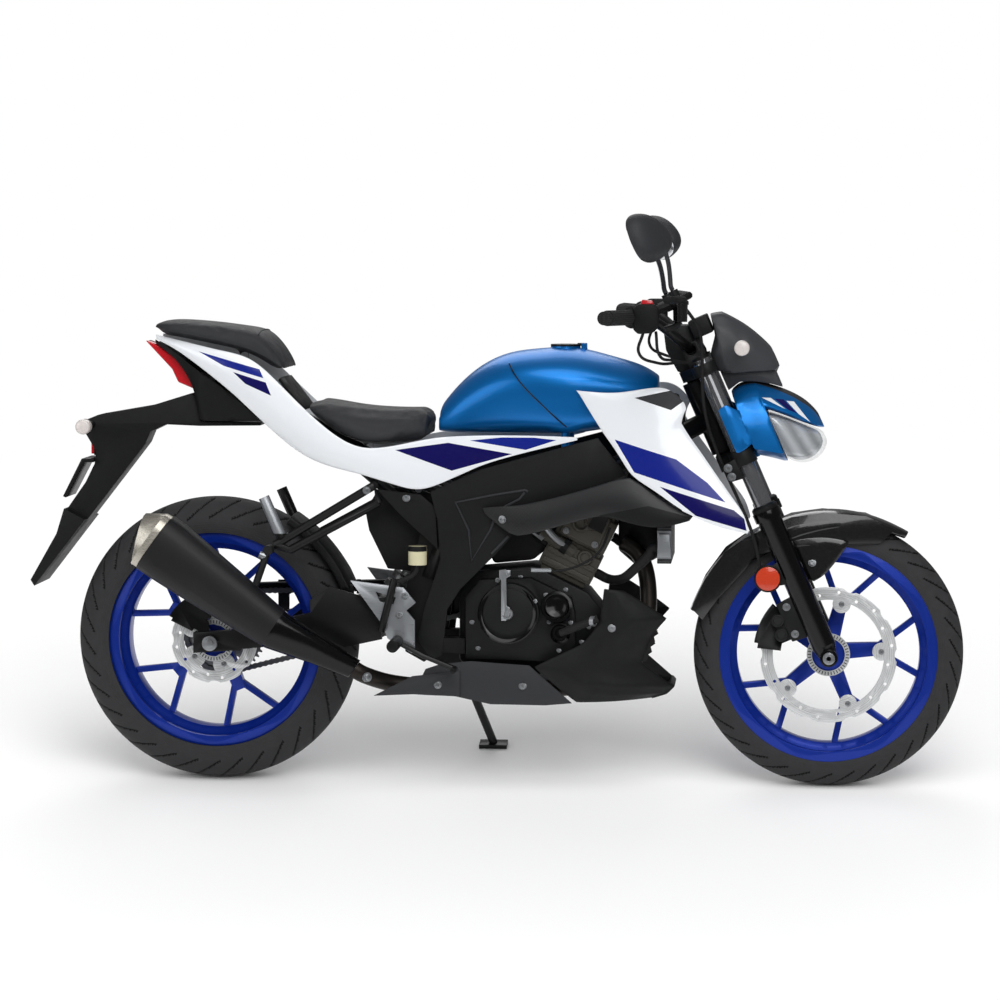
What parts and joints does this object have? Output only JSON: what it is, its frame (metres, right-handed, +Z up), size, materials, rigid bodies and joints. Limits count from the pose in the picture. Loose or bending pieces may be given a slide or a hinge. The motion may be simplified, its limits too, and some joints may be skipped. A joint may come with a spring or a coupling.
{
  "type": "standard motorcycle",
  "caption": "Standard road motorcycle with cast wheels, chain drive and tank shrouds, parked leaning on its side stand; steering, wheels, stand and fuel cap turn.",
  "frame": {"origin": "on the floor under the middle of the bounding box of the parked motorcycle", "axes": "+X forward, +Y to the rider's left, the side it leans to, +Z up"},
  "size_m": [2.008, 0.8111, 1.2699],
  "materials": {
    "black_frame": "satin black",
    "black_plastic": "textured black",
    "dark_grey_plastic": "matt dark grey",
    "engine_black": "semi-matt black",
    "cylinder_grey": "dark grey",
    "blue_metal": "metallic blue gloss",
    "blue_plastic": "metallic blue gloss",
    "white_plastic": "gloss white",
    "seat_vinyl": "grained black vinyl",
    "tyre": "matt black",
    "wheel_blue": "gloss blue",
    "steel": "ground",
    "dark_steel": "oiled",
    "chrome": "polished",
    "aluminium": "satin",
    "red_lens": "clear red",
    "clear_lens": "clear",
    "lamp_glass": "clear",
    "exhaust_brown": "heat-stained",
    "exhaust_black": "matt black",
    "stainless": "brushed",
    "rubber": "matt",
    "fluid_plastic": "translucent",
    "radiator": "black coated"
  },
  "bodies": {
    "chassis": {"frame": "black_frame", "frame_covers": "black_plastic", "crankcase": "engine_black", "engine_covers": "engine_black", "cylinder_top": "cylinder_grey", "radiator": "radiator", "coolant_hoses": "rubber", "exhaust_pipe": "exhaust_brown", "muffler": "exhaust_black", "muffler_cap": "stainless", "belly_pan": "black_plastic", "under_covers": "dark_grey_plastic", "fuel_tank": "blue_metal", "shrouds": "white_plastic", "air_ducts": "dark_grey_plastic", "tail_cowl": "white_plastic", "tail_inner": "black_plastic", "rider_seat": "seat_vinyl", "pillion_seat": "seat_vinyl", "tail_light": "red_lens", "plate_hanger": "black_plastic", "rear_indicators": "clear_lens", "swingarm": "black_frame", "rear_shock": "dark_steel", "chain_guard": "black_plastic", "rear_axle": "dark_steel", "rear_caliper": "engine_black", "brake_reservoir": "fluid_plastic", "chain": "dark_steel", "peg_plates": "aluminium", "foot_controls": "black_frame", "pillion_pegs": "black_frame"},
    "steering": {"steering_head": "black_frame", "fork_tubes": "chrome", "fork_sliders": "black_frame", "front_axle": "dark_steel", "front_fender": "black_plastic", "front_caliper": "engine_black", "handlebar": "black_frame", "grips": "rubber", "hand_controls": "black_plastic", "mirrors": "dark_grey_plastic", "headlight_cowl": "blue_plastic", "headlamp": "lamp_glass", "visor": "dark_grey_plastic", "instrument": "black_plastic", "front_indicators": "clear_lens", "brake_hose": "rubber"},
    "front_wheel": {"front_tyre": "tyre", "front_wheel": "wheel_blue", "front_disc": "steel"},
    "rear_wheel": {"rear_tyre": "tyre", "rear_wheel": "wheel_blue", "rear_disc": "steel", "rear_sprocket": "dark_steel"},
    "side_stand": {"side_stand": "black_frame"},
    "fuel_cap": {"fuel_cap": "black_frame"}
  },
  "joints": [
    {"name": "steering", "type": "hinge", "parent": "chassis", "child": "steering", "pos_m": [0.46519, -0.05939, 0.77843], "axis": [-0.3987, 0.1592, 0.9031], "range_deg": [-36, 36]},
    {"name": "front_wheel_spin", "type": "hinge", "parent": "steering", "child": "front_wheel", "pos_m": [0.716, -0.14649, 0.28446], "axis": [0, 0.9848, -0.1736], "continuous": true},
    {"name": "rear_wheel_spin", "type": "hinge", "parent": "chassis", "child": "rear_wheel", "pos_m": [-0.604, -0.14319, 0.30317], "axis": [0, 0.9848, -0.1736], "continuous": true},
    {"name": "side_stand_fold", "type": "hinge", "parent": "chassis", "child": "side_stand", "pos_m": [-0.094, -0.02865, 0.22713], "axis": [0.1343, 0.9469, 0.2922], "range_deg": [0, 107]},
    {"name": "fuel_cap_lid", "type": "hinge", "parent": "chassis", "child": "fuel_cap", "pos_m": [0.191, -0.0324, 0.93148], "axis": [0, 0.9848, -0.1736], "range_deg": [0, 95]}
  ]
}
